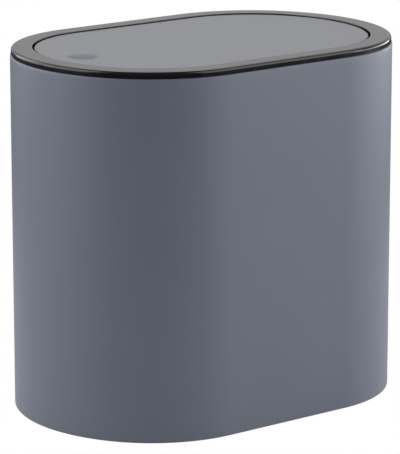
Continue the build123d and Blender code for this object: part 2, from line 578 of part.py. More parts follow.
# Lid base: a black tray with floor ribs, screw cups, the weight's pocket, the hubs and the stop fins.
with BuildPart() as lid_base:
    with BuildSketch(Plane.XY.offset(LID_BOTTOM)):
        oval(LID_BASE_INSET)
    extrude(amount=PANEL_BOTTOM - LID_BOTTOM)
    fillet(edges_at(lid_base, LID_BOTTOM), LID_BASE_EDGE)
    with BuildSketch(Plane.XY.offset(LID_FLOOR_TOP)):
        oval(LID_BASE_INSET + LID_BASE_WALL)
    extrude(amount=PANEL_BOTTOM - LID_FLOOR_TOP, mode=Mode.SUBTRACT)
    with BuildSketch(Plane.XY.offset(LID_FLOOR_TOP)):
        with GridLocations(0, LID_RIB_SPACING_Y, 1, 2):
            Rectangle(BODY_LENGTH, LID_RIB)
        with Locations((-3 * SCREW_SPACING_X / 2, 0), (-SCREW_SPACING_X / 2, 0), (SCREW_SPACING_X / 2, 0)):
            Rectangle(LID_RIB, BODY_WIDTH)
        oval(LID_BASE_INSET + LID_BASE_WALL / 2, mode=Mode.INTERSECT)
        with Locations((pocket_near_x - BODY_LENGTH / 2, 0)):
            Rectangle(BODY_LENGTH, BODY_WIDTH, mode=Mode.INTERSECT)
    extrude(amount=PANEL_BOTTOM - LID_RIB_DROP - LID_FLOOR_TOP)
    with BuildSketch(Plane.XY.offset(LID_FLOOR_TOP)):
        with Locations((WEIGHT_X, 0)):
            Rectangle(pocket_width + 2 * WEIGHT_RIB, pocket_length + 2 * WEIGHT_RIB)
            Rectangle(pocket_width, pocket_length, mode=Mode.SUBTRACT)
    extrude(amount=WEIGHT_RIB_HEIGHT)
    with BuildSketch(Plane.XY.offset(LID_BOTTOM + SCREW_SINK)):
        with screw_places:
            Circle(SCREW_HEAD_RADIUS + HOLE_CLEARANCE + SCREW_HEAD_WALL)
    extrude(amount=SCREW_SEAT_TOP - LID_BOTTOM - SCREW_SINK)
    with BuildSketch(Plane.XY.offset(LID_BOTTOM)):
        with screw_places:
            Circle(SCREW_HEAD_RADIUS + HOLE_CLEARANCE)
    extrude(amount=SCREW_SEAT_BOTTOM - LID_BOTTOM, mode=Mode.SUBTRACT)
    with BuildSketch(Plane.XY.offset(LID_BOTTOM)):
        with screw_places:
            Circle(SCREW_RADIUS + HOLE_CLEARANCE)
    extrude(amount=SCREW_SEAT_TOP - LID_BOTTOM, mode=Mode.SUBTRACT)
    # Hubs inside the long walls, with thrust bosses that face the bushes' flanges.
    with BuildSketch(*side_planes(LID_BASE_INSET + LID_BASE_WALL - OVERLAP)):
        with Locations((0, (PANEL_BOTTOM - SHELL_GAP + LID_FLOOR_TOP - OVERLAP) / 2 - PIVOT_Z)):
            Rectangle(2 * HUB_HALF_WIDTH, PANEL_BOTTOM - SHELL_GAP - LID_FLOOR_TOP + OVERLAP)
    extrude(amount=-(PIN_END_INSET + HUB_WALL - LID_BASE_INSET - LID_BASE_WALL + OVERLAP))
    with BuildSketch(*side_planes(LID_INSET)):
        Circle(THRUST_BOSS_RADIUS)
    extrude(amount=-(LID_BASE_INSET - LID_INSET + OVERLAP))
    with BuildSketch(side_planes(STOP_INSET)[0]):
        with BuildLine():
            Polyline(stop_point(STOP_START, STOP_ROOT, -STOP_THICKNESS / 2),
                     stop_point(STOP_START, STOP_REACH, -STOP_THICKNESS / 2),
                     stop_point(STOP_START, STOP_REACH, STOP_THICKNESS / 2),
                     stop_point(STOP_START, STOP_ROOT, STOP_THICKNESS / 2), close=True)
        make_face()
    front_fin = extrude(amount=-STOP_WIDTH)
    mirror(front_fin, about=Plane.XZ)
    with BuildSketch(*side_planes(LID_INSET)):
        Circle(PIN_RADIUS + PRESS_CLEARANCE)
    extrude(amount=-(PIN_IN_HUB + HOLE_CLEARANCE), mode=Mode.SUBTRACT)
lid_base.part.label = "lid_base"
export_step(lid_base.part, "parts/lid_base.step")

# Lid screws: slotted heads in their cups, plain shanks up into the panel's bosses.
with BuildPart() as lid_screws:
    with BuildSketch(Plane.XY.offset(LID_BOTTOM + SCREW_SINK)):
        with screw_places:
            Circle(SCREW_HEAD_RADIUS)
    extrude(amount=SCREW_HEAD)
    fillet(edges_at(lid_screws, LID_BOTTOM + SCREW_SINK), SCREW_EDGE)
    with BuildSketch(Plane.XY.offset(SCREW_SEAT_BOTTOM)):
        with screw_places:
            Circle(SCREW_RADIUS)
    extrude(amount=SCREW_LENGTH)
    with BuildSketch(Plane.XY.offset(LID_BOTTOM + SCREW_SINK)):
        with screw_places:
            Rectangle(2 * SCREW_HEAD_RADIUS, SCREW_SLOT)
    extrude(amount=SCREW_HEAD / 2, mode=Mode.SUBTRACT)
lid_screws.part.label = "lid_screws"
export_step(lid_screws.part, "parts/lid_screws.step")

# Counterweight: a steel bar across the far end of the lid.
with BuildPart() as counterweight:
    with BuildSketch(Plane.XY.offset(LID_FLOOR_TOP)):
        with Locations((WEIGHT_X, 0)):
            Rectangle(WEIGHT_WIDTH, WEIGHT_LENGTH)
    extrude(amount=WEIGHT_THICKNESS)
    chamfer(counterweight.edges().filter_by(Axis.Z), WEIGHT_EDGE)
    chamfer(edges_at(counterweight, WEIGHT_TOP), WEIGHT_EDGE / 2)
counterweight.part.label = "counterweight"
export_step(counterweight.part, "parts/counterweight.step")

# Pivot pins: headed, put in from outside the ring, turning in the bushes and tight in the hubs.
for end, head_plane in zip(("front", "back"), side_planes(PLUG_INSET + RING_WALL)):
    with BuildPart() as pivot_pin:
        with BuildSketch(head_plane):
            Circle(PIN_HEAD_RADIUS)
        extrude(amount=-PIN_HEAD)
        with BuildSketch(head_plane):
            Circle(PIN_RADIUS)
        extrude(amount=-(PIN_END_INSET - PLUG_INSET - RING_WALL))
        pin_ends = pivot_pin.faces().filter_by(Axis.Y).sort_by(Axis.Y)
        chamfer(pin_ends[0].edges() + pin_ends[-1].edges(), PIN_EDGE)
    pivot_pin.part.label = f"pivot_pin_{end}"
    export_step(pivot_pin.part, f"parts/pivot_pin_{end}.step")

# Bucket: tapered wall, rolled rim on ribs, a standing foot and two ears for the bail.
taper_run = (BUCKET_TOP - BUCKET_FLOOR) * tan(radians(BUCKET_TAPER))
with BuildPart() as inner_bucket:
    with BuildSketch(Plane.XY.offset(BUCKET_FLOOR)):
        oval(BUCKET_WALL_INSET + taper_run)
    extrude(amount=BUCKET_TOP - BUCKET_FLOOR, taper=-BUCKET_TAPER)
    fillet(edges_at(inner_bucket, BUCKET_FLOOR), BUCKET_CORNER)
    offset(amount=-BUCKET_WALL, openings=inner_bucket.faces().sort_by(Axis.Z)[-1])
    with BuildSketch(Plane.XY.offset(BUCKET_TOP)):
        band(BUCKET_RIM_INSET, BUCKET_WALL_INSET + OVERLAP)
    extrude(amount=-BUCKET_WALL)
    fillet(inner_bucket.faces().sort_by(Axis.Z)[-1].outer_wire().edges(), BUCKET_RIM_EDGE)
    with BuildSketch(Plane.XY.offset(BUCKET_TOP - BUCKET_WALL)):
        band(BUCKET_RIM_INSET, BUCKET_RIM_INSET + BUCKET_LIP)
    extrude(amount=BUCKET_WALL - BUCKET_RIM_DEPTH)
    with BuildSketch(Plane.XY.offset(BUCKET_TOP - BUCKET_WALL)):
        with Locations(places_along(BUCKET_RIM_INSET + BUCKET_RIM_WIDTH / 2 + OVERLAP, BUCKET_RIBS)):
            Rectangle(BUCKET_RIB, BUCKET_RIM_WIDTH - OVERLAP)
    extrude(amount=BUCKET_WALL - BUCKET_RIM_DEPTH + OVERLAP)
    with BuildSketch(Plane.XY.offset(BUCKET_BOTTOM)):
        band(BUCKET_FOOT_INSET, BUCKET_FOOT_INSET + BUCKET_FOOT_WIDTH)
    extrude(amount=BUCKET_FOOT + OVERLAP)
    with BuildSketch(*side_planes(EAR_INSET)):
        with Locations((0, BAIL_Z - PIVOT_Z)):
            Circle(EAR_RADIUS)
        with Locations((0, BUCKET_TOP - PIVOT_Z)):
            Rectangle(2 * EAR_HALF_WIDTH, 2 * OVERLAP)
        make_hull()
    extrude(amount=-EAR_THICKNESS)
    with BuildSketch(*side_planes(EAR_INSET)):
        with Locations((0, BAIL_Z - PIVOT_Z)):
            Circle(WIRE_RADIUS + WIRE_CLEARANCE)
    extrude(amount=-EAR_THICKNESS, mode=Mode.SUBTRACT)
inner_bucket.part.label = "inner_bucket"
export_step(inner_bucket.part, "parts/inner_bucket.step")

# Bail: one wire round the +X half of the rim, its ends bent out through the ears.
wire_side = HALF_WIDTH - WIRE_INSET
with BuildPart() as bail_wire:
    with BuildLine(Plane.XY.offset(BAIL_Z)) as bail_route:
        end_arcs(WIRE_INSET)
        for side in (-1, 1):
            Line((SHOULDER_X, side * wire_side), (WIRE_BEND, side * wire_side))
            CenterArc((WIRE_BEND, side * (wire_side + WIRE_BEND)), WIRE_BEND, -90 * side, -90 * side)
            Line((0, side * (wire_side + WIRE_BEND)), (0, side * (HALF_WIDTH - WIRE_END_INSET)))
    route = bail_route.wire()
    with BuildSketch(Plane(route @ 0, z_dir=route % 0)):
        Circle(WIRE_RADIUS)
    sweep(path=route)
bail_wire.part.label = "bail_wire"
export_step(bail_wire.part, "parts/bail_wire.step")

# Grip: a curved tube round the middle of the bail.
with BuildPart() as bail_grip:
    with BuildSketch(Plane.XZ):
        with Locations((END_X + END_RADIUS - WIRE_INSET, BAIL_Z)):
            Circle(GRIP_RADIUS)
            Circle(WIRE_RADIUS + GRIP_BORE_CLEARANCE, mode=Mode.SUBTRACT)
    revolve(axis=Axis((END_X, 0, 0), (0, 0, 1)), revolution_arc=2 * GRIP_HALF_ANGLE)
    grip_ends = bail_grip.faces().filter_by(GeomType.PLANE)
    chamfer(grip_ends.edges().filter_by(lambda edge: edge.radius > WIRE_RADIUS + GRIP_EDGE), GRIP_EDGE)
bail_grip.part = bail_grip.part.rotate(Axis((END_X, 0, 0), (0, 0, 1)), -GRIP_HALF_ANGLE)
bail_grip.part.label = "bail_grip"
export_step(bail_grip.part, "parts/bail_grip.step")
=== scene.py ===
# %% [markdown]
# # An oval swing-lid bin
# A small waste bin: a sleeve of painted steel, a black ring plugged into its top, and a flat lid that tips
# in the ring when its dimpled end is pressed.  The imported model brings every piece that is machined,
# moulded or turned.  This lesson gives each one its real finish, and builds again the pieces whose looks
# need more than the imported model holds.

import json
import math

import bpy
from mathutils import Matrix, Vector

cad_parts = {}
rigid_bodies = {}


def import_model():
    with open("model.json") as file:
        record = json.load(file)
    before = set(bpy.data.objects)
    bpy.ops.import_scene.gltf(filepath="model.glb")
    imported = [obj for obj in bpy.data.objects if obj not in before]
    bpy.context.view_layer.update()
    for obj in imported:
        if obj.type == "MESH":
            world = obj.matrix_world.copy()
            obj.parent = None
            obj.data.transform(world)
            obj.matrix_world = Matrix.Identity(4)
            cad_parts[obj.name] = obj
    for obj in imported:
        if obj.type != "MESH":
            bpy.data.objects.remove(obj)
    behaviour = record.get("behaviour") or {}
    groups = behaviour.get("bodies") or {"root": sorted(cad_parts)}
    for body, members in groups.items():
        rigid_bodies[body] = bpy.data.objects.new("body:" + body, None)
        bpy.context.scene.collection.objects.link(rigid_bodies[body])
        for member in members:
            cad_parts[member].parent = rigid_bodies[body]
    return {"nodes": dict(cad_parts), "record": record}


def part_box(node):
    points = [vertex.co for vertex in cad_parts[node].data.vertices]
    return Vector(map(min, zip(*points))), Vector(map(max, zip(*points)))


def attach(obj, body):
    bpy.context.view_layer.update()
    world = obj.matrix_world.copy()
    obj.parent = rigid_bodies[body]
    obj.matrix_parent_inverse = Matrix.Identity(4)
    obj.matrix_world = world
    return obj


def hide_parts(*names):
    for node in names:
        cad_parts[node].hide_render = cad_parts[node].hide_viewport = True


for leftover in list(bpy.data.objects):
    bpy.data.objects.remove(leftover)
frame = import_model()
cad_nodes = frame["nodes"]
scene = bpy.context.scene
bpy.context.view_layer.update()

# %% [markdown]
# ## Helpers
# Sizes are written in millimetres, as on a drawing, and turned to metres where Blender wants them.
# Colours are written as the hex values that a colour picker shows, so they are turned to linear light.
# Every tree, of geometry or of a material, is put together by one function that adds a node.

# %% Helpers for sizes, colours and nodes
MM = 0.001
COLOUR_A, COLOUR_B, COLOUR_RESULT = 6, 7, 2  # a Mix node's sockets for colours, told apart by number


def linear(hex_code):
    """An sRGB hex colour as linear red, green, blue and alpha."""
    channels = [int(hex_code[start:start + 2], 16) / 255 for start in (1, 3, 5)]
    return tuple(c / 12.92 if c <= 0.04045 else ((c + 0.055) / 1.055) ** 2.4 for c in channels) + (1.0,)


def add(tree, kind, inputs=(), **settings):
    """Add a node to a tree, with its settings, and with each input a value or another node's output."""
    made = tree.nodes.new(kind)
    for name, value in settings.items():
        setattr(made, name, value)
    for key, value in dict(inputs).items():
        if isinstance(value, bpy.types.NodeSocket):
            tree.links.new(value, made.inputs[key])
        else:
            made.inputs[key].default_value = value
    return made


# %% [markdown]
# ## Finishes
# A finish is a principled shader.  Wide clouds mix two near colours, as no real coat or moulding is quite
# even, and a fine grain drives its roughness and bump.  The patterns lie on Object coordinates, which are
# metres on the real bin, so a pattern's scale is one over its real grain size.  Each finish below starts
# from what the real surface is and how it was made.

# %% How a finish is put together
NOISE_LOW, NOISE_HIGH = 0.3, 0.7  # nearly all of a noise lies between these


def finish(name, dark, light, cloud_mm, roughness, grain_mm, height_mm, detail=2.0, stretch=(1, 1, 1),
           metallic=0.0, ior=1.5):
    """A material with a clouded colour and a fine grain; its sizes are in millimetres."""
    material = bpy.data.materials.new(name)
    material.use_nodes = True
    tree = material.node_tree
    tree.nodes.clear()
    where = add(tree, "ShaderNodeTexCoord").outputs["Object"]
    where = add(tree, "ShaderNodeMapping", {"Vector": where, "Scale": stretch}).outputs["Vector"]
    cloud = add(tree, "ShaderNodeTexNoise", {"Vector": where, "Scale": 1 / (cloud_mm * MM), "Detail": detail})
    colour = add(tree, "ShaderNodeMix", {
        "Factor": cloud.outputs["Fac"], COLOUR_A: linear(dark), COLOUR_B: linear(light)}, data_type="RGBA")
    grain = add(tree, "ShaderNodeTexNoise", {"Vector": where, "Scale": 1 / (grain_mm * MM), "Detail": detail})
    dullness = add(tree, "ShaderNodeMapRange", {
        "Value": grain.outputs["Fac"], "From Min": NOISE_LOW, "From Max": NOISE_HIGH,
        "To Min": roughness[0], "To Max": roughness[1]})
    raised = add(tree, "ShaderNodeBump", {"Height": grain.outputs["Fac"], "Distance": height_mm * MM})
    shader = add(tree, "ShaderNodeBsdfPrincipled", {
        "Base Color": colour.outputs[COLOUR_RESULT], "Roughness": dullness.outputs["Result"],
        "Normal": raised.outputs["Normal"], "Metallic": metallic, "IOR": ior})
    add(tree, "ShaderNodeOutputMaterial", {"Surface": shader.outputs["BSDF"]})
    print(name, "has clouds of", cloud_mm, "mm and a grain of", grain_mm, "mm")
    return material


# %% [markdown]
# ### Enamel of the sleeve and the lid
# Both are steel sheet, sprayed with a satin enamel and baked.  The coat is even and gives a wide, soft
# highlight.  Scanned paint could be laid over the sheet as a picture, but a finish that is worked out has
# no seam round the sleeve, and its grain is equally fine on both pieces.

# %% Painted steel
# Satin enamel, sprayed and baked: an even blue grey, with the faint orange peel of a sprayed coat.
enamel_body = finish("satin_enamel_blue_grey", "#636876", "#676c7a", cloud_mm=60, roughness=(0.40, 0.45),
                     grain_mm=1.6, height_mm=0.012)

# %% Painted lid
# The lid has the same enamel as the sleeve; its lighter grey is painted light, for the light that its upward
# face catches.
enamel_lid = finish("satin_enamel_grey_lit_by_painted_light", "#7e7f86", "#82838a", cloud_mm=50, roughness=(0.40, 0.44),
                    grain_mm=1.6, height_mm=0.010)

# %% [markdown]
# ### Thumb dimple of the lid
# The pressed dimple is painted darker and bluer than the lid, as painted shade for its hollow, and the painted
# shade fades over its edge.  It could be painted on a UV map by hand.  The distance from the dimple's middle
# tells the same in a few nodes, and the fade stays smooth at any size of picture.

# %% Thumb dimple
DIMPLE_X = -92.0  # its middle, on the lid's long axis
SHADE_FULL, SHADE_ENDS = 6.5, 11.5  # distances from the middle, between which it fades
# painted shade: the dimple's hollow drawn darker and bluer in the colour
DIMPLE_PAINTED_SHADE = "#565d68"
tree = enamel_lid.node_tree
place = add(tree, "ShaderNodeTexCoord").outputs["Object"]
from_middle = add(tree, "ShaderNodeVectorMath", {0: place, 1: (DIMPLE_X * MM, 0, 0)}, operation="SUBTRACT")
level = add(tree, "ShaderNodeVectorMath", {0: from_middle.outputs[0], 1: (1, 1, 0)}, operation="MULTIPLY")
distance = add(tree, "ShaderNodeVectorMath", {0: level.outputs[0]}, operation="LENGTH").outputs["Value"]
shade_weight = add(tree, "ShaderNodeMapRange", {
    "Value": distance, "From Min": SHADE_ENDS * MM, "From Max": SHADE_FULL * MM},
    interpolation_type="SMOOTHSTEP")
# the painted shade is mixed into the lid's colour
painted_shade = add(tree, "ShaderNodeMix", {
    "Factor": shade_weight.outputs["Result"], COLOUR_A: tree.nodes["Mix"].outputs[COLOUR_RESULT],
    COLOUR_B: linear(DIMPLE_PAINTED_SHADE)}, data_type="RGBA")
tree.links.new(painted_shade.outputs[COLOUR_RESULT], tree.nodes["Principled BSDF"].inputs["Base Color"])
print("painted shade is full within", SHADE_FULL, "mm and ends at", SHADE_ENDS, "mm")

# %% [markdown]
# ### Moulded plastics
# The ring, the bucket, the base and the small pieces under the lid are moulded, and each shows the surface
# of its mould: a polished one gives gloss, a spark-eroded one a fine matt grain.  One roughness for each
# would do from afar, but a grain of the real size breaks up the highlight as a moulding does.

# %% Moulded plastics
# Glossy black ABS from a polished mould: deep black, with the slight waviness of a moulded skin.
gloss_abs = finish("polished_black_abs", "#0a0a0b", "#0c0c0d", cloud_mm=40, roughness=(0.12, 0.17),
                   grain_mm=9.0, height_mm=0.02)

# Matt black polypropylene from a spark-eroded mould: a fine even grain that kills the gloss.
matt_pp = finish("spark_eroded_black_polypropylene", "#141415", "#181819", cloud_mm=40,
                 roughness=(0.48, 0.62), grain_mm=0.7, height_mm=0.03, detail=3.0, ior=1.49)

# Dark grey polypropylene of the bucket: the same grain, a little waxy.
bucket_pp = finish("moulded_grey_polypropylene", "#3a3b3e", "#404144", cloud_mm=40, roughness=(0.40, 0.52),
                   grain_mm=0.9, height_mm=0.025, detail=3.0, ior=1.49)

# Black acetal of the bushes: smooth and slightly waxy.
acetal = finish("black_acetal", "#181819", "#1c1c1d", cloud_mm=10, roughness=(0.30, 0.40), grain_mm=2.0,
                height_mm=0.005, ior=1.48)

# Soft black rubber: dull, with a dusty bloom in small spots.
rubber = finish("soft_black_rubber", "#191919", "#222221", cloud_mm=1.2, roughness=(0.72, 0.88), grain_mm=1.2,
                height_mm=0.02, detail=4.0, ior=1.52)

# %% [markdown]
# ### Bare metals
# Little metal is left bare: the pan, the screws, pins and counterweight, and the bail's wire.  Rolling lines
# and the skin of a plating are too fine to model, so they are noise in the roughness, drawn out along the
# rolling on the pan.

# %% Bare metals
# Zinc-coated steel sheet of the pan: rolled along X, so its lines run that way.
rolled = finish("rolled_zinc_coated_steel", "#a6a8ab", "#bfc1c3", cloud_mm=0.8, roughness=(0.30, 0.46),
                grain_mm=0.8, height_mm=0.004, detail=3.0, stretch=(0.04, 1, 1), metallic=1.0)

# Zinc-plated steel of screws, pins and counterweight: pale, with a cloudy passivated skin.
zinc = finish("zinc_plated_steel", "#a9adb2", "#c6c8ca", cloud_mm=1.5, roughness=(0.26, 0.42),
              grain_mm=1.5, height_mm=0.004, detail=4.0, metallic=1.0)

# Bright nickel-plated wire of the bail: warm and nearly a mirror.
nickel = finish("bright_nickel_wire", "#c5c1b9", "#cdc9c1", cloud_mm=3.0, roughness=(0.12, 0.22),
                grain_mm=1.0, height_mm=0.002, detail=3.0, metallic=1.0)

# %% [markdown]
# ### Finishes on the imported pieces
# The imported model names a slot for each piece.  Each could get its finish by hand in the editor, but a table
# from slot to finish does it in one pass, and leaves none out.

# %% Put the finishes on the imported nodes
FINISHES = {
    "body_paint": enamel_body, "lid_paint": enamel_lid, "ring_plastic": gloss_abs, "base_plastic": matt_pp,
    "bucket_plastic": bucket_pp, "bush_plastic": acetal, "rubber": rubber, "pan_steel": rolled,
    "fastener_steel": zinc, "wire_steel": nickel,
}
for subpart in frame["record"]["subparts"]:
    cad_nodes[subpart["node"]].data.materials[0] = FINISHES[subpart["material_slot"]]
print("finishes:", sorted(material.name for material in FINISHES.values()))

# %% [markdown]
# ## Trees that make pieces
# The sleeve follows a path, and the pads, rivets and screws repeat, so trees of Geometry Nodes make them.
# A section is drawn first, in millimetres, as a few corners joined by straight edges.  A tree takes that
# drawing with its named sizes, and the result is kept as a plain mesh.  All trees start and end alike.

# %% A start and an end for every tree
WELD = 0.001  # mm; points that lie closer together are made one


def start_tree(name, lengths, counts=()):
    """A geometry tree with inputs for a drawing, a finish, named lengths and counts; returns both."""
    tree = bpy.data.node_groups.new(name, "GeometryNodeTree")
    sockets = [("Drawing", "NodeSocketGeometry"), ("Finish", "NodeSocketMaterial")]
    sockets += [(length, "NodeSocketFloat") for length in lengths]
    sockets += [(count, "NodeSocketInt") for count in counts]
    for socket_name, kind in sockets:
        tree.interface.new_socket(socket_name, in_out="INPUT", socket_type=kind)
    tree.interface.new_socket("Piece", in_out="OUTPUT", socket_type="NodeSocketGeometry")
    return tree, add(tree, "NodeGroupInput").outputs


def end_tree(tree, given, geometry):
    """Make what a tree grew real, give it its finish and put it out."""
    real = add(tree, "GeometryNodeRealizeInstances", {"Geometry": geometry})
    painted = add(tree, "GeometryNodeSetMaterial", {"Geometry": real.outputs[0], "Material": given["Finish"]})
    add(tree, "NodeGroupOutput", {"Piece": painted.outputs[0]})


# %% The drawing of a section, and the making of a piece
def draw_section(name, corners):
    """A mesh of straight edges through corners given in millimetres."""
    section = bpy.data.meshes.new(name)
    section.from_pydata([(x * MM, y * MM, 0) for x, y in corners],
                        [(number, number + 1) for number in range(len(corners) - 1)], [])
    return section


def grow(name, tree, material, body, slot, replaced, corners=(), wall=0.0, crease=35.0, **sizes):
    """Run a tree on a section, keep its mesh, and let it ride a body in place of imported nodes."""
    section = draw_section(name + "_section", corners)
    piece = bpy.data.objects.new(name, section)
    scene.collection.objects.link(piece)
    nodes = piece.modifiers.new("nodes", "NODES")
    nodes.node_group = tree
    given = {label.replace("_", " ").title(): value for label, value in sizes.items()}
    for socket in tree.interface.items_tree:
        if socket.in_out == "INPUT" and socket.name in given:
            nodes[socket.identifier] = given[socket.name]
        elif socket.name == "Finish":
            nodes[socket.identifier] = material
    if wall:
        sheet = piece.modifiers.new("sheet", "SOLIDIFY")
        sheet.thickness, sheet.offset, sheet.use_even_offset = wall, -1.0, True
    made = piece.evaluated_get(bpy.context.evaluated_depsgraph_get())
    mesh = bpy.data.meshes.new_from_object(made)
    mesh.materials.clear()
    mesh.materials.append(material)
    piece.modifiers.clear()
    piece.data = mesh
    bpy.data.meshes.remove(section)
    mesh.shade_smooth()
    mesh.set_sharp_from_angle(angle=math.radians(crease))
    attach(piece, body)
    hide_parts(*replaced)
    print(name, len(mesh.polygons), "faces, size in mm:", [round(side / MM, 2) for side in piece.dimensions])


# %% [markdown]
# ## Sleeve
# The sleeve is one steel sheet, bent to an oval, with its edges turned in and the upper one hemmed.  An
# extruded outline with bevelled edges would do, but sweeping the sheet's section round the outline is how
# a roller bends it, and it keeps the turned edges and the hem as real folds.  The outline has two straight
# sides, four shoulder arcs, and end arcs that are slightly flatter than the shoulders.

# %% Sizes of the outline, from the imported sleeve
sleeve_low, sleeve_high = (Vector(corner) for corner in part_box("body_sleeve"))
HALF_LENGTH, HALF_WIDTH = sleeve_high.x, sleeve_high.y
SLEEVE_LIFT, BODY_TOP = sleeve_low.z, sleeve_high.z
END_FLATTENING = 8.0 * MM  # end arc's radius, beyond half the width
SHOULDER_TIGHTENING = 8.0 * MM  # shoulder arc's radius, short of half the width
END_RADIUS = HALF_WIDTH + END_FLATTENING
SHOULDER_RADIUS = HALF_WIDTH - SHOULDER_TIGHTENING
END_X = HALF_LENGTH - END_RADIUS
BLEND_ANGLE = math.asin(SHOULDER_TIGHTENING / (END_RADIUS - SHOULDER_RADIUS))
SHOULDER_X = END_X + (END_RADIUS - SHOULDER_RADIUS) * math.cos(BLEND_ANGLE)
ARC_STEPS = 32
ARC_WELD = 0.01  # mm between the ends of two arcs that meet
print("end arc", round(END_RADIUS / MM, 1), "shoulder arc", round(SHOULDER_RADIUS / MM, 1), "mm")

# %% The outline, as the tree draws it
swept, given = start_tree("swept_round_the_bin", [
    "End Radius", "End X", "Shoulder Radius", "Shoulder X", "Shoulder Y", "Blend Angle", "Bend Radius"],
    ["Arc Steps"])
points = add(swept, "ShaderNodeMath", {0: given["Arc Steps"], 1: 1.0}, operation="ADD").outputs[0]
shoulder_turn = add(swept, "ShaderNodeMath", {0: given["Blend Angle"], 1: math.pi / 2}, operation="SUBTRACT")
shoulder_turn = shoulder_turn.outputs[0]
end_turn = add(swept, "ShaderNodeMath", {0: given["Blend Angle"], 1: -2.0}, operation="MULTIPLY").outputs[0]
front_start = add(swept, "ShaderNodeMath", {0: given["Blend Angle"], 1: -1.0}, operation="MULTIPLY")
front_start = front_start.outputs[0]
front_y = add(swept, "ShaderNodeMath", {0: given["Shoulder Y"], 1: -1.0}, operation="MULTIPLY").outputs[0]
end_half = add(swept, "GeometryNodeJoinGeometry")
for radius, centre_x, centre_y, start, turn in (
        (given["Shoulder Radius"], given["Shoulder X"], given["Shoulder Y"], math.pi / 2, shoulder_turn),
        (given["End Radius"], given["End X"], 0.0, given["Blend Angle"], end_turn),
        (given["Shoulder Radius"], given["Shoulder X"], front_y, front_start, shoulder_turn)):
    arc = add(swept, "GeometryNodeCurveArc", {
        "Resolution": points, "Radius": radius, "Start Angle": start, "Sweep Angle": turn})
    centre = add(swept, "ShaderNodeCombineXYZ", {"X": centre_x, "Y": centre_y})
    placed = add(swept, "GeometryNodeTransform", {
        "Geometry": arc.outputs["Curve"], "Translation": centre.outputs[0]})
    swept.links.new(placed.outputs[0], end_half.inputs[0])

# The straight side of the front closes this half, and the other half is the same, turned half round.
side_y = add(swept, "ShaderNodeMath", {0: front_y, 1: given["Shoulder Radius"]}, operation="SUBTRACT")
side_y = side_y.outputs[0]
side_end_x = add(swept, "ShaderNodeMath", {0: given["Shoulder X"], 1: -1.0}, operation="MULTIPLY").outputs[0]
side = add(swept, "GeometryNodeCurvePrimitiveLine", {
    "Start": add(swept, "ShaderNodeCombineXYZ", {"X": given["Shoulder X"], "Y": side_y}).outputs[0],
    "End": add(swept, "ShaderNodeCombineXYZ", {"X": side_end_x, "Y": side_y}).outputs[0]})
swept.links.new(side.outputs[0], end_half.inputs[0])
other_half = add(swept, "GeometryNodeTransform", {
    "Geometry": end_half.outputs[0], "Rotation": (0, 0, math.pi)})
halves = add(swept, "GeometryNodeJoinGeometry")
for half in (end_half, other_half):
    swept.links.new(half.outputs[0], halves.inputs[0])
edges = add(swept, "GeometryNodeCurveToMesh", {"Curve": halves.outputs[0]})
welded = add(swept, "GeometryNodeMergeByDistance", {"Geometry": edges.outputs[0], "Distance": ARC_WELD * MM})
loop = add(swept, "GeometryNodeMeshToCurve", {"Mesh": welded.outputs[0]})
loop = add(swept, "GeometryNodeReverseCurve", {"Curve": loop.outputs[0]})
loop = add(swept, "GeometryNodeSetCurveNormal", {"Curve": loop.outputs[0]}, mode="Z_UP")
print("nodes for the outline:", len(swept.nodes))

# %% The section, swept round the outline
# The section is drawn as inset and height, and half a turn points it inwards and up.
BEND_STEPS = 8
section = add(swept, "GeometryNodeMeshToCurve", {"Mesh": given["Drawing"]})
section = add(swept, "GeometryNodeTransform", {"Geometry": section.outputs[0], "Rotation": (0, 0, math.pi)})
section = add(swept, "GeometryNodeFilletCurve", {
    "Curve": section.outputs[0], "Radius": given["Bend Radius"], "Count": BEND_STEPS}, mode="POLY")
skin = add(swept, "GeometryNodeCurveToMesh", {"Curve": loop.outputs[0], "Profile Curve": section.outputs[0]})
skin = add(swept, "GeometryNodeMergeByDistance", {"Geometry": skin.outputs[0], "Distance": WELD * MM})
skin = add(swept, "GeometryNodeFlipFaces", {"Mesh": skin.outputs[0]})
end_tree(swept, given, skin.outputs[0])
print("nodes in the whole tree:", len(swept.nodes))

# %% Sleeve
SHEET, BEND_RADIUS = 0.7, 1.2
TOP_FLANGE, HEM_END, BOTTOM_FLANGE = 5.6, 4.7, 8.0
BEND_SUPPORT = 4.0  # keeps the shading of the bends off the flat walls
lift, top = SLEEVE_LIFT / MM, BODY_TOP / MM
grow(
    "sleeve", swept, enamel_body, "body", "body_paint", ["body_sleeve"],
    corners=[(BOTTOM_FLANGE, lift), (0, lift), (0, lift + BEND_SUPPORT), (0, top - BEND_SUPPORT), (0, top),
             (TOP_FLANGE, top), (TOP_FLANGE, top - HEM_END)],
    wall=SHEET * MM, end_radius=END_RADIUS, end_x=END_X, shoulder_radius=SHOULDER_RADIUS,
    shoulder_x=SHOULDER_X, shoulder_y=SHOULDER_TIGHTENING, blend_angle=BLEND_ANGLE,
    bend_radius=BEND_RADIUS * MM, arc_steps=ARC_STEPS)

# %% [markdown]
# ## Pads, rivets and screws
# These small round pieces stand in rows, and each is turned from a half section about its own axis.  The
# Spin tool would need each one placed by hand.  Here a tree sweeps the section round a thin circle, welds
# the pole where it meets the axis, and puts a copy on each corner of a grid.

# %% What turns a section, and what sets a piece out on a grid
AXIS_RADIUS = 1.0 * MM  # of the thin circle; a section is drawn from its axis
EDGE_STEPS = 2


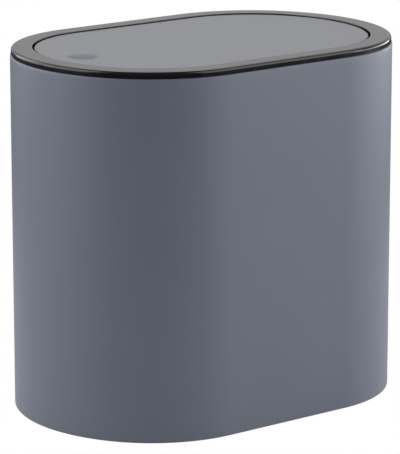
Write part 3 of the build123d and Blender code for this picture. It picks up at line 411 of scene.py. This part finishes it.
def turn_section(tree, given):
    """Sweep the drawn half section, with rounded corners, about the Z axis."""
    circle = add(tree, "GeometryNodeCurvePrimitiveCircle", {
        "Resolution": given["Steps"], "Radius": AXIS_RADIUS})
    circle = add(tree, "GeometryNodeReverseCurve", {"Curve": circle.outputs[0]})
    circle = add(tree, "GeometryNodeSetCurveNormal", {"Curve": circle.outputs[0]}, mode="Z_UP")
    section = add(tree, "GeometryNodeMeshToCurve", {"Mesh": given["Drawing"]})
    section = add(tree, "GeometryNodeFilletCurve", {
        "Curve": section.outputs[0], "Radius": given["Edge Radius"], "Count": EDGE_STEPS,
        "Limit Radius": True}, mode="POLY")
    section = add(tree, "GeometryNodeTransform", {
        "Geometry": section.outputs[0], "Translation": (AXIS_RADIUS, 0, 0), "Rotation": (0, 0, math.pi)})
    skin = add(tree, "GeometryNodeCurveToMesh", {
        "Curve": circle.outputs[0], "Profile Curve": section.outputs[0]})
    return add(tree, "GeometryNodeMergeByDistance", {
        "Geometry": skin.outputs[0], "Distance": WELD * MM}).outputs[0]


def set_out(tree, given, geometry):
    """Put a copy of a piece on each corner of a grid about the middle of the bin, at a height."""
    grid = add(tree, "GeometryNodeMeshGrid", {
        "Size X": given["Spacing X"], "Size Y": given["Spacing Y"],
        "Vertices X": given["Columns"], "Vertices Y": given["Rows"]})
    height = add(tree, "ShaderNodeCombineXYZ", {"Z": given["Height"]})
    raised = add(tree, "GeometryNodeTransform", {
        "Geometry": grid.outputs[0], "Translation": height.outputs[0]})
    return add(tree, "GeometryNodeInstanceOnPoints", {
        "Points": raised.outputs[0], "Instance": geometry}).outputs[0]


# %% The tree for pads and rivets
PLACES = ["Spacing X", "Spacing Y", "Height", "Edge Radius"]
turned, given = start_tree("turned_on_a_grid", PLACES, ["Columns", "Rows", "Steps"])
end_tree(turned, given, set_out(turned, given, turn_section(turned, given)))
print("nodes in the tree:", len(turned.nodes))

# %% [markdown]
# ### Foot pads
# Four rubber pads are pressed into the base ring, and round grooves in them grip the floor.  A pad could be a
# cylinder with a bump map, but real grooves also show on the exported mesh, and a few corners of the section
# draw them.

# %% Foot pads
pad_low, pad_high = (Vector(corner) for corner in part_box("foot_pad_1"))
pad_middle, pad_radius = (pad_low + pad_high) / 2, (pad_high.x - pad_low.x) / 2 / MM
PAD_THICKNESS = (pad_high.z - pad_low.z) / MM
PAD_BEVEL, PAD_EDGE = 0.3, 0.06
GROOVE_RADII = (2.0, 3.8, 5.6)
GROOVE_DEPTH, GROOVE_FLOOR, GROOVE_SLOPE = 0.3, 0.5, 0.15
pad_section = [(0, 0)]
for groove in GROOVE_RADII:
    inner, outer = groove - GROOVE_FLOOR / 2, groove + GROOVE_FLOOR / 2
    pad_section += [(inner - GROOVE_SLOPE, 0), (inner, GROOVE_DEPTH), (outer, GROOVE_DEPTH),
                    (outer + GROOVE_SLOPE, 0)]
pad_section += [(pad_radius - PAD_BEVEL, 0), (pad_radius, PAD_BEVEL), (pad_radius, PAD_THICKNESS),
                (0, PAD_THICKNESS)]
grow(
    "foot_pads", turned, rubber, "body", "rubber", [f"foot_pad_{number}" for number in (1, 2, 3, 4)],
    corners=pad_section, spacing_x=2 * pad_middle.x, spacing_y=2 * pad_middle.y, height=0.0,
    edge_radius=PAD_EDGE * MM, columns=2, rows=2, steps=48)

# %% [markdown]
# ### Push rivets of the base ring
# Each is a head with a pin pushed into its middle, a shank, and a bulb that the pin has spread over the pan.
# Four could be modelled and placed one by one.  The tree of the pads makes them too, from another section.

# %% Push rivets of the base ring
rivets_low, rivets_high = (Vector(corner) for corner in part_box("base_rivets"))
RIVET_HEAD_RADIUS, RIVET_HEAD, RIVET_RADIUS = 3.6, 0.7, 1.6
RIVET_BULB_RADIUS, RIVET_BULB = 2.6, 0.9
RIVET_PIN_RADIUS, RIVET_PIN_DIP, RIVET_PIN_GAP = 1.0, 0.12, 0.3
RIVET_EDGE = 0.12
rivet_length = (rivets_high.z - rivets_low.z) / MM
grow(
    "push_rivets", turned, matt_pp, "body", "base_plastic", ["base_rivets"],
    corners=[(0, RIVET_PIN_DIP), (RIVET_PIN_RADIUS, RIVET_PIN_DIP), (RIVET_PIN_RADIUS, RIVET_PIN_GAP),
             (RIVET_PIN_RADIUS + RIVET_PIN_GAP, RIVET_PIN_GAP), (RIVET_PIN_RADIUS + RIVET_PIN_GAP, 0),
             (RIVET_HEAD_RADIUS, 0), (RIVET_HEAD_RADIUS, RIVET_HEAD), (RIVET_RADIUS, RIVET_HEAD),
             (RIVET_RADIUS, rivet_length - RIVET_BULB), (RIVET_BULB_RADIUS, rivet_length - RIVET_BULB),
             (RIVET_BULB_RADIUS, rivet_length - RIVET_BULB / 2),
             (RIVET_BULB_RADIUS - RIVET_BULB / 2, rivet_length), (0, rivet_length)],
    spacing_x=2 * (rivets_high.x - RIVET_HEAD_RADIUS * MM),
    spacing_y=2 * (rivets_high.y - RIVET_HEAD_RADIUS * MM),
    height=rivets_low.z, edge_radius=RIVET_EDGE * MM, columns=2, rows=2, steps=32)

# %% [markdown]
# ## Lid screws
# Six slotted screws hold the lid's two halves together.  Their heads show in the cups under the lid.  The
# head and core are turned as above; a thin block cut away by a Boolean leaves the slot, as the mill does, and
# the thread is a small triangle swept up a spiral.

# %% Head, core and slot of a screw
SLOT_REACH = 20.0  # longer than the head is wide
screwed, given = start_tree(
    "slotted_screws", PLACES + ["Slot Width", "Slot Depth", "Core Radius", "Thread Radius", "Thread Start",
                                "Thread Length", "Thread Pitch"], ["Columns", "Rows", "Steps"])
core = turn_section(screwed, given)
slot_size = add(screwed, "ShaderNodeCombineXYZ", {
    "X": 1.0, "Y": given["Slot Width"], "Z": given["Slot Depth"]})
slot_size = add(screwed, "ShaderNodeVectorMath", {0: slot_size.outputs[0], 1: (SLOT_REACH * MM, 1, 2)},
                operation="MULTIPLY")
cutter = add(screwed, "GeometryNodeMeshCube", {"Size": slot_size.outputs[0]})
slotted = add(screwed, "GeometryNodeMeshBoolean", {"Mesh 1": core, "Mesh 2": cutter.outputs[0]},
              operation="DIFFERENCE", solver="EXACT")
print("nodes for head and slot:", len(screwed.nodes))

# %% Thread of a screw, and the end of the tree
THREAD_STEPS = 16  # in each turn of the spiral
THREAD_SINK = 0.25  # how far the triangle's base lies in the core, as a share of the triangle's radius
turns = add(screwed, "ShaderNodeMath", {0: given["Thread Length"], 1: given["Thread Pitch"]},
            operation="DIVIDE")
crest = add(screwed, "ShaderNodeMath", {0: given["Thread Radius"], 1: given["Core Radius"]},
            operation="SUBTRACT")
crest = add(screwed, "ShaderNodeMath", {0: crest.outputs[0], 1: 1 + THREAD_SINK}, operation="DIVIDE")
crest = crest.outputs[0]
middle = add(screwed, "ShaderNodeMath", {0: given["Thread Radius"], 1: crest}, operation="SUBTRACT")
middle = middle.outputs[0]
spiral = add(screwed, "GeometryNodeCurveSpiral", {
    "Resolution": THREAD_STEPS, "Rotations": turns.outputs[0], "Start Radius": middle, "End Radius": middle,
    "Height": given["Thread Length"]})
spiral = add(screwed, "GeometryNodeSetCurveNormal", {"Curve": spiral.outputs[0]}, mode="Z_UP")
triangle = add(screwed, "GeometryNodeCurvePrimitiveCircle", {"Resolution": 3, "Radius": crest})
thread = add(screwed, "GeometryNodeCurveToMesh", {
    "Curve": spiral.outputs[0], "Profile Curve": triangle.outputs[0], "Fill Caps": True})
thread_start = add(screwed, "ShaderNodeCombineXYZ", {"Z": given["Thread Start"]})
thread = add(screwed, "GeometryNodeTransform", {
    "Geometry": thread.outputs[0], "Translation": thread_start.outputs[0]})
screw = add(screwed, "GeometryNodeJoinGeometry")
for solid in (slotted, thread):
    screwed.links.new(solid.outputs[0], screw.inputs[0])
end_tree(screwed, given, set_out(screwed, given, screw.outputs[0]))
print("nodes in the whole tree:", len(screwed.nodes))

# %% Lid screws
screws_low, screws_high = (Vector(corner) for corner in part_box("lid_screws"))
SCREW_HEAD_RADIUS, SCREW_HEAD, HEAD_EDGE = 2.8, 1.8, 0.5
SCREW_CORE, SCREW_TIP = 1.15, 0.5
SLOT_WIDTH, SLOT_DEPTH = 0.8, 0.9
THREAD_RADIUS, THREAD_GAP, THREAD_LENGTH, THREAD_PITCH = 1.5, 0.4, 4.5, 0.9
screw_length = (screws_high.z - screws_low.z) / MM
grow(
    "lid_screws_slotted", screwed, zinc, "lid", "fastener_steel", ["lid_screws"],
    corners=[(0, 0), (SCREW_HEAD_RADIUS, 0), (SCREW_HEAD_RADIUS, SCREW_HEAD), (SCREW_CORE, SCREW_HEAD),
             (SCREW_CORE, screw_length - SCREW_CORE + SCREW_TIP), (SCREW_TIP, screw_length),
             (0, screw_length)],
    spacing_x=2 * (screws_high.x - SCREW_HEAD_RADIUS * MM),
    spacing_y=2 * (screws_high.y - SCREW_HEAD_RADIUS * MM),
    height=screws_low.z, edge_radius=HEAD_EDGE * MM, slot_width=SLOT_WIDTH * MM, slot_depth=SLOT_DEPTH * MM,
    core_radius=SCREW_CORE * MM, thread_radius=THREAD_RADIUS * MM,
    thread_start=(SCREW_HEAD + THREAD_GAP) * MM, thread_length=THREAD_LENGTH * MM,
    thread_pitch=THREAD_PITCH * MM, columns=3, rows=2, steps=32)

# %% [markdown]
# ## Grip of the bail
# The grip is a moulded tube with ridges round it, slid on the wire before its ends are bent.  It could be
# modelled straight and bent with a Curve modifier.  The tree does the same: a straight tube is made, its
# radius follows a wave along its length, and then every point is moved on to the arc of the wire.

# %% Line and ridges of the grip
RINGS_PER_RIDGE = 8.0
GROOVE_FROM = -0.2  # where the wave is above this it cuts a groove, and below it the ridge stays full
LAST_RINGS = 0.4999  # only the rings at both ends lie further from the middle, as a share of the length
gripped, given = start_tree("ridged_grip", [
    "Arc Radius", "Arc Centre X", "Height", "Half Angle", "Radius", "Bore Radius", "Ridge Depth"],
    ["Ridges", "Steps"])
half_length = add(gripped, "ShaderNodeMath", {0: given["Arc Radius"], 1: given["Half Angle"]},
                  operation="MULTIPLY")
start = add(gripped, "ShaderNodeMath", {0: half_length.outputs[0], 1: -1.0}, operation="MULTIPLY").outputs[0]
line = add(gripped, "GeometryNodeCurvePrimitiveLine", {
    "Start": add(gripped, "ShaderNodeCombineXYZ", {"Z": start}).outputs[0],
    "End": add(gripped, "ShaderNodeCombineXYZ", {"Z": half_length.outputs[0]}).outputs[0]})
rings = add(gripped, "ShaderNodeMath", {0: given["Ridges"], 1: RINGS_PER_RIDGE, 2: 1.0},
            operation="MULTIPLY_ADD")
line = add(gripped, "GeometryNodeResampleCurve", {"Curve": line.outputs[0], "Count": rings.outputs[0]})

# The radius is full on each ridge, and at both ends it falls to the bore's, which closes the tube there.
along = add(gripped, "GeometryNodeSplineParameter").outputs["Factor"]
phase = add(gripped, "ShaderNodeMath", {0: along, 1: given["Ridges"]}, operation="MULTIPLY")
phase = add(gripped, "ShaderNodeMath", {0: phase.outputs[0], 1: 2 * math.pi}, operation="MULTIPLY")
wave = add(gripped, "ShaderNodeMath", {0: phase.outputs[0]}, operation="COSINE")
groove = add(gripped, "ShaderNodeMapRange", {
    "Value": wave.outputs[0], "From Min": GROOVE_FROM, "From Max": 1.0}, interpolation_type="SMOOTHSTEP")
groove = add(gripped, "ShaderNodeMath", {0: groove.outputs[0], 1: given["Ridge Depth"]}, operation="MULTIPLY")
radius = add(gripped, "ShaderNodeMath", {0: given["Radius"], 1: groove.outputs[0]}, operation="SUBTRACT")
from_end = add(gripped, "ShaderNodeMath", {0: along, 1: 0.5}, operation="SUBTRACT")
from_end = add(gripped, "ShaderNodeMath", {0: from_end.outputs[0]}, operation="ABSOLUTE")
inside = add(gripped, "ShaderNodeMath", {0: from_end.outputs[0], 1: LAST_RINGS}, operation="LESS_THAN")
radius = add(gripped, "ShaderNodeMix", {
    "Factor": inside.outputs[0], "A": given["Bore Radius"], "B": radius.outputs[0]})
print("nodes for line and ridges:", len(gripped.nodes))

# %% Tube of the grip
ring = add(gripped, "GeometryNodeCurvePrimitiveCircle", {"Resolution": given["Steps"], "Radius": 1.0})
outside = add(gripped, "GeometryNodeCurveToMesh", {
    "Curve": line.outputs[0], "Profile Curve": ring.outputs[0], "Scale": radius.outputs["Result"]})
bore = add(gripped, "GeometryNodeCurveToMesh", {
    "Curve": line.outputs[0], "Profile Curve": ring.outputs[0], "Scale": given["Bore Radius"]})
bore = add(gripped, "GeometryNodeFlipFaces", {"Mesh": bore.outputs[0]})
tube = add(gripped, "GeometryNodeJoinGeometry")
for skin in (outside, bore):
    gripped.links.new(skin.outputs[0], tube.inputs[0])
tube = add(gripped, "GeometryNodeMergeByDistance", {"Geometry": tube.outputs[0], "Distance": WELD * MM})
print("nodes with the tube:", len(gripped.nodes))

# %% Bend of the grip, and the end of the tree
# The place along the straight tube becomes an angle on the arc.
straight = add(gripped, "ShaderNodeSeparateXYZ", {
    "Vector": add(gripped, "GeometryNodeInputPosition").outputs[0]}).outputs
angle = add(gripped, "ShaderNodeMath", {0: straight["Z"], 1: given["Arc Radius"]}, operation="DIVIDE")
angle = angle.outputs[0]
reach = add(gripped, "ShaderNodeMath", {0: given["Arc Radius"], 1: straight["X"]}, operation="ADD").outputs[0]
cosine = add(gripped, "ShaderNodeMath", {0: angle}, operation="COSINE").outputs[0]
sine = add(gripped, "ShaderNodeMath", {0: angle}, operation="SINE").outputs[0]
bent = add(gripped, "ShaderNodeCombineXYZ", {
    "X": add(gripped, "ShaderNodeMath", {0: reach, 1: cosine, 2: given["Arc Centre X"]},
             operation="MULTIPLY_ADD").outputs[0],
    "Y": add(gripped, "ShaderNodeMath", {0: reach, 1: sine}, operation="MULTIPLY").outputs[0],
    "Z": add(gripped, "ShaderNodeMath", {0: given["Height"], 1: straight["Y"]},
             operation="SUBTRACT").outputs[0]})
grip = add(gripped, "GeometryNodeSetPosition", {"Geometry": tube.outputs[0], "Position": bent.outputs[0]})
end_tree(gripped, given, grip.outputs[0])
print("nodes in the whole tree:", len(gripped.nodes))

# %% Grip
grip_low, grip_high = (Vector(corner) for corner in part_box("bail_grip"))
GRIP_HALF_ANGLE, GRIP_CREASE = 22.0, 60.0  # degrees
GRIP_BORE, RIDGE_DEPTH, RIDGES = 1.45, 0.45, 14
grip_radius = (grip_high.z - grip_low.z) / 2
grow(
    "ridged_bail_grip", gripped, matt_pp, "bail", "base_plastic", ["bail_grip"],
    arc_radius=grip_high.x - grip_radius - END_X, arc_centre_x=END_X, height=(grip_low.z + grip_high.z) / 2,
    half_angle=math.radians(GRIP_HALF_ANGLE), radius=grip_radius, bore_radius=GRIP_BORE * MM,
    ridge_depth=RIDGE_DEPTH * MM, ridges=RIDGES, steps=32, crease=GRIP_CREASE)

# %% [markdown]
# ## Floor and room
# The photograph has a white background with no edge.  The floor is a sheet of paper that the camera sees as
# plain white, and the world behind it is plain white to the camera too.  Reflections see the paper too, but
# dimmer where it runs out into the dim studio, because a glossy black ring would look white in an all-white
# room.  More light could whiten the paper as well, but then it would also bleach the paint.

# %% Floor
VIEW_AZIMUTH = -38.0  # degrees round from the front, where the camera stands
turn = math.radians(VIEW_AZIMUTH)
BRIGHT_WITHIN, DIM_BEYOND = 0.4, 0.7  # metres from the middle of the bin
BRIGHT_PAPER, DIM_PAPER = 0.65, 0.10
paper = bpy.data.materials.new("white_studio_paper")
paper.use_nodes = True
tree = paper.node_tree
tree.nodes.clear()
ray = add(tree, "ShaderNodeLightPath").outputs
seen = add(tree, "ShaderNodeMath", {0: ray["Is Camera Ray"], 1: ray["Is Glossy Ray"]}, operation="ADD")
seen = add(tree, "ShaderNodeMath", {0: seen.outputs[0], 1: ray["Is Transmission Ray"]}, operation="ADD",
           use_clamp=True)
place = add(tree, "ShaderNodeTexCoord").outputs["Object"]
away = add(tree, "ShaderNodeVectorMath", {0: place}, operation="LENGTH").outputs["Value"]
dimmer = add(tree, "ShaderNodeMapRange", {
    "Value": away, "From Min": BRIGHT_WITHIN, "From Max": DIM_BEYOND,
    "To Min": BRIGHT_PAPER, "To Max": DIM_PAPER}, interpolation_type="SMOOTHSTEP")
strength = add(tree, "ShaderNodeMath", {0: ray["Is Camera Ray"], 1: dimmer.outputs[0]}, operation="MAXIMUM")
lit = add(tree, "ShaderNodeBsdfDiffuse", {"Color": linear("#e8e8e8")})
white = add(tree, "ShaderNodeEmission", {"Color": (1, 1, 1, 1), "Strength": strength.outputs[0]})
shown = add(tree, "ShaderNodeMixShader", {0: seen.outputs[0], 1: lit.outputs[0], 2: white.outputs[0]})
add(tree, "ShaderNodeOutputMaterial", {"Surface": shown.outputs[0]})

FLOOR_REACH = 6.0  # metres
floor_mesh = bpy.data.meshes.new("floor")
floor_mesh.from_pydata(
    [(-FLOOR_REACH, -FLOOR_REACH, 0), (FLOOR_REACH, -FLOOR_REACH, 0),
     (FLOOR_REACH, FLOOR_REACH, 0), (-FLOOR_REACH, FLOOR_REACH, 0)], [], [(0, 1, 2, 3)])
floor = bpy.data.objects.new("floor", floor_mesh)
floor.data.materials.append(paper)
scene.collection.objects.link(floor)
print("paper reaches", FLOOR_REACH, "m each way")

# %% The room
ROOM_LIGHT = 0.15
DIM_STUDIO, LIT_BACKDROP = 0.2, 0.65
BACKDROP_EDGE = 0.5  # cosine of the angle from straight behind, within which it is fully lit
world = bpy.data.worlds.new("studio")
scene.world = world
world.use_nodes = True
tree = world.node_tree
tree.nodes.clear()
ray = add(tree, "ShaderNodeLightPath").outputs
bounced = add(tree, "ShaderNodeMath", {0: ray["Is Glossy Ray"], 1: ray["Is Transmission Ray"]},
              operation="ADD", use_clamp=True)
room = add(tree, "ShaderNodeBackground", {"Color": (1, 1, 1, 1), "Strength": ROOM_LIGHT})
# Reflections see the backdrop behind the bin, and in front of it and overhead only the dim studio.
direction = add(tree, "ShaderNodeTexCoord").outputs["Generated"]
behind = add(tree, "ShaderNodeVectorMath", {0: direction, 1: (-math.sin(turn), math.cos(turn), 0)},
             operation="DOT_PRODUCT")
reflected = add(tree, "ShaderNodeMapRange", {
    "Value": behind.outputs["Value"], "From Min": 0.0, "From Max": BACKDROP_EDGE,
    "To Min": DIM_STUDIO, "To Max": LIT_BACKDROP}, interpolation_type="SMOOTHSTEP")
mirrored = add(tree, "ShaderNodeBackground", {"Color": (1, 1, 1, 1), "Strength": reflected.outputs[0]})
backdrop = add(tree, "ShaderNodeBackground", {"Color": (1, 1, 1, 1), "Strength": 1.0})
unseen = add(tree, "ShaderNodeMixShader", {0: bounced.outputs[0], 1: room.outputs[0], 2: mirrored.outputs[0]})
shown = add(tree, "ShaderNodeMixShader", {
    0: ray["Is Camera Ray"], 1: unseen.outputs[0], 2: backdrop.outputs[0]})
add(tree, "ShaderNodeOutputWorld", {"Surface": shown.outputs[0]})
print("nodes in the room's light:", len(tree.nodes))

# %% [markdown]
# ## Lamps
# The sleeve is bright at both sides and dark in the middle, so tall soft lamps stand left and right of it.
# Two more stand further round behind, where they light the edges: one tall, one low, so that the lid keeps
# clear of it.  A small one hangs high over the back for the rim.  Sun lamps would be fewer, but their
# highlights are small and hard.  The boxes are large for their power, because the ring mirrors them.

# %% Lamps
LAMP_DISTANCE = 1.6  # metres from the aim
AIM = Vector((0, 0, 0.12))  # the middle of the bin


def softbox(name, azimuth, elevation, width, height, power):
    """A soft lamp round from the camera and above the floor by angles in degrees, aimed at the bin."""
    turn, lift = math.radians(VIEW_AZIMUTH + azimuth), math.radians(elevation)
    away = Vector((math.sin(turn) * math.cos(lift), -math.cos(turn) * math.cos(lift), math.sin(lift)))
    lamp = bpy.data.lights.new(name, "AREA")
    lamp.shape, lamp.size, lamp.size_y, lamp.energy = "RECTANGLE", width, height, power
    placed = bpy.data.objects.new(name, lamp)
    placed.location = AIM + away * LAMP_DISTANCE
    placed.rotation_euler = away.to_track_quat("Z", "Y").to_euler()
    scene.collection.objects.link(placed)
    print(name, width, "by", height, "m,", power, "W")


softbox("lamp_left", -75, 22, width=1.3, height=1.9, power=18.8)
softbox("lamp_back_left", -119, 12, width=1.2, height=1.7, power=11.2)
softbox("lamp_right", 70, 22, width=1.6, height=1.8, power=18)
softbox("lamp_back_right", 116, 1, width=1.9, height=0.55, power=15)
softbox("lamp_top", 180, 58, width=1.0, height=1.0, power=7)

# %% [markdown]
# ## Camera
# The camera stands where the photographer did: to the front left and a little above.  The photograph's
# upright edges were straightened, so its camera is set by the shape of the rim and of the foot, from
# further away than the real one, where upright edges lean less.  A shifted frame would keep them upright,
# but would miss the bin in the other views.

# %% Camera
IMAGE_WIDTH, IMAGE_HEIGHT = 400, 454
SENSOR = 36.0  # mm along the longer side of the picture
FOCAL_PIXELS = 3000.8  # focal length in pixels of the picture
AXIS_PIXEL_X = 203.25  # the column that the camera points at
DISTANCE, EYE_HEIGHT = 1.8445, 0.5536  # metres along the floor and above it
LOOK_DOWN = 0.2366  # radians
camera_data = bpy.data.cameras.new("camera")
camera_data.sensor_width = SENSOR
camera_data.lens = SENSOR * FOCAL_PIXELS / IMAGE_HEIGHT
camera_data.shift_x = (IMAGE_WIDTH / 2 - AXIS_PIXEL_X) / IMAGE_HEIGHT
camera = bpy.data.objects.new("camera", camera_data)
camera.location = (DISTANCE * math.sin(turn), -DISTANCE * math.cos(turn), EYE_HEIGHT)
camera.rotation_euler = (math.pi / 2 - LOOK_DOWN, 0, turn)
scene.collection.objects.link(camera)
scene.camera = camera
scene.view_settings.view_transform = "Standard"
print("lens", round(camera_data.lens, 1), "mm")

# %% [markdown]
# ## The end
# The view layer is brought up to date, so every piece stands where it was put.

# %% Bring the scene up to date
bpy.context.view_layer.update()
